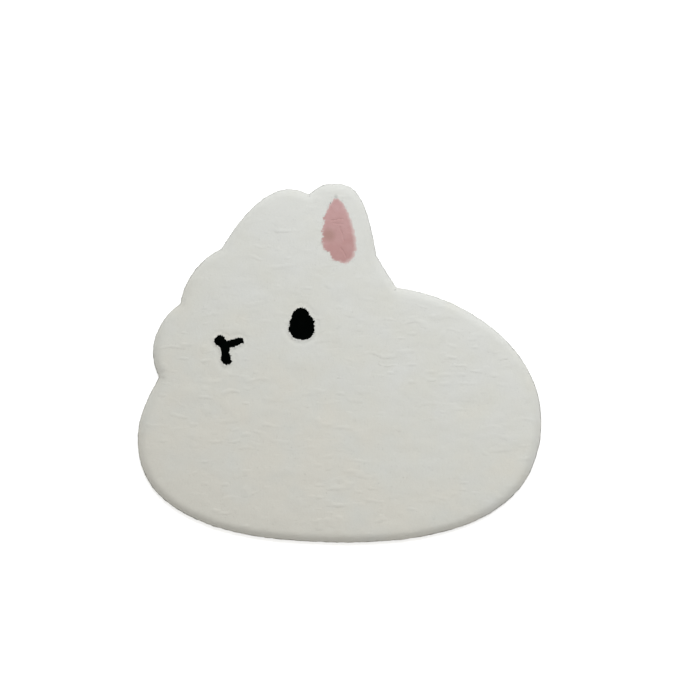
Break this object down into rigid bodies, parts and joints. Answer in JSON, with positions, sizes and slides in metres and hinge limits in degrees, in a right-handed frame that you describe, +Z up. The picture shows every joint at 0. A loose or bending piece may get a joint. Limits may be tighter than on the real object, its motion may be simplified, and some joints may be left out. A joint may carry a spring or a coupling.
{
  "type": "rabbit-shaped plush rug",
  "caption": "Flat plush floor rug cut to the outline of a resting rabbit, with a rounded pile edge and coloured pile set in for the ear, eye and mouth.",
  "frame": {"origin": "on the floor, under the middle of the rug's overall width and depth", "axes": "+X along the width, from the muzzle towards the rump; +Y along the depth, from the belly towards the tip of the ear; +Z up out of the pile"},
  "size_m": [0.9, 0.8, 0.024],
  "materials": {
    "white_pile": "dense short cut pile, warm white",
    "pink_pile": "dense short cut pile, dusty pink",
    "black_pile": "dense short cut pile, black"
  },
  "bodies": {
    "root": {"white_field": "white_pile", "ear_inset": "pink_pile", "eye_inset": "black_pile", "mouth_inset": "black_pile"}
  },
  "joints": []
}
